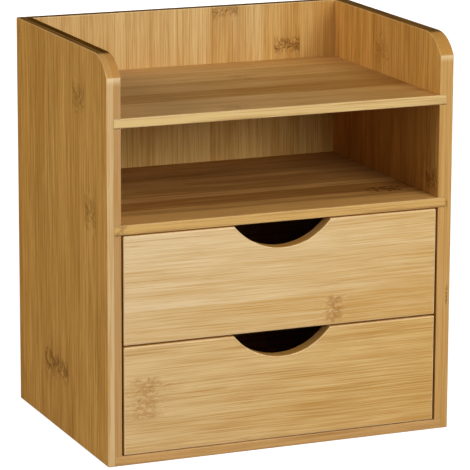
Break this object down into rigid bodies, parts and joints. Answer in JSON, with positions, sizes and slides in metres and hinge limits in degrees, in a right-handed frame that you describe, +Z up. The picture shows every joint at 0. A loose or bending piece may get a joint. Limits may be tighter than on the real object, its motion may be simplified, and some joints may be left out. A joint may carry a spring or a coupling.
{
  "type": "desktop drawer organizer",
  "caption": "Bamboo desktop organizer with a low-walled tray on top, an open compartment and sliding drawers with round finger notches.",
  "frame": {"origin": "centre of the base's footprint, on the surface it stands on", "axes": "+Z up, the drawers and the open compartment face -Y, +X to the right as seen in that view"},
  "size_m": [0.25, 0.18, 0.275],
  "materials": {
    "side_bamboo": "satin lacquered bamboo, upright grain",
    "shelf_bamboo": "satin lacquered bamboo, grain across",
    "front_bamboo": "satin lacquered light bamboo, grain across",
    "drawer_bamboo": "fine sanded bamboo",
    "bottom_bamboo": "thin bamboo plywood",
    "strip_bamboo": "sanded bamboo strip",
    "dowel_bamboo": "raw fluted wood",
    "pin_steel": "bright wire"
  },
  "bodies": {
    "cabinet": {"left_side": "side_bamboo", "right_side": "side_bamboo", "back_panel": "side_bamboo", "tray_floor": "shelf_bamboo", "middle_shelf": "shelf_bamboo", "bottom_panel": "shelf_bamboo", "left_runner": "strip_bamboo", "right_runner": "strip_bamboo", "runner_pins": "pin_steel"},
    "upper_drawer": {"upper_drawer_front": "front_bamboo", "upper_drawer_left_side": "drawer_bamboo", "upper_drawer_right_side": "drawer_bamboo", "upper_drawer_back": "drawer_bamboo", "upper_drawer_bottom": "bottom_bamboo", "upper_drawer_dowels": "dowel_bamboo"},
    "lower_drawer": {"lower_drawer_front": "front_bamboo", "lower_drawer_left_side": "drawer_bamboo", "lower_drawer_right_side": "drawer_bamboo", "lower_drawer_back": "drawer_bamboo", "lower_drawer_bottom": "bottom_bamboo", "lower_drawer_dowels": "dowel_bamboo"}
  },
  "joints": [
    {"name": "upper_drawer_slide", "type": "slide", "parent": "cabinet", "child": "upper_drawer", "axis": [0, -1, 0], "range_m": [0, 0.13]},
    {"name": "lower_drawer_slide", "type": "slide", "parent": "cabinet", "child": "lower_drawer", "axis": [0, -1, 0], "range_m": [0, 0.13]}
  ]
}
